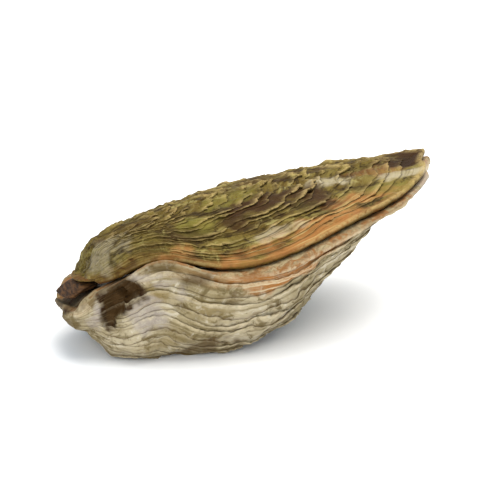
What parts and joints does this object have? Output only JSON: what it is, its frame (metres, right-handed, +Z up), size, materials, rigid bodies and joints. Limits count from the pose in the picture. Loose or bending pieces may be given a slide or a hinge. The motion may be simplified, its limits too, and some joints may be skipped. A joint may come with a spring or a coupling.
{
  "type": "oyster",
  "caption": "Closed whole oyster lying on its cupped lower valve, with a hollow lower valve, a flatter lid valve hinged at the narrow end, and an upturned bill.",
  "frame": {"origin": "under the middle of the resting shell, on the surface it lies on", "axes": "+X from the hinge to the bill, +Y to the far side, +Z up"},
  "size_m": [0.085, 0.0488, 0.0298],
  "materials": {
    "lower_shell": "chalky grey-white shell with tan and rust shelves, rough and dry",
    "upper_shell": "mottled olive-brown shell with dark growth lines, rough and faintly damp",
    "ligament": "dark brown, tough and slightly waxy"
  },
  "bodies": {
    "lower": {"lower_valve": "lower_shell", "ligament": "ligament"},
    "upper": {"upper_valve": "upper_shell"}
  },
  "joints": [
    {"name": "valve_hinge", "type": "hinge", "parent": "lower", "child": "upper", "pos_m": [-0.03792, -0.00076, 0.01325], "axis": [0, -0.9903, 0.1392], "range_deg": [0, 10]}
  ]
}
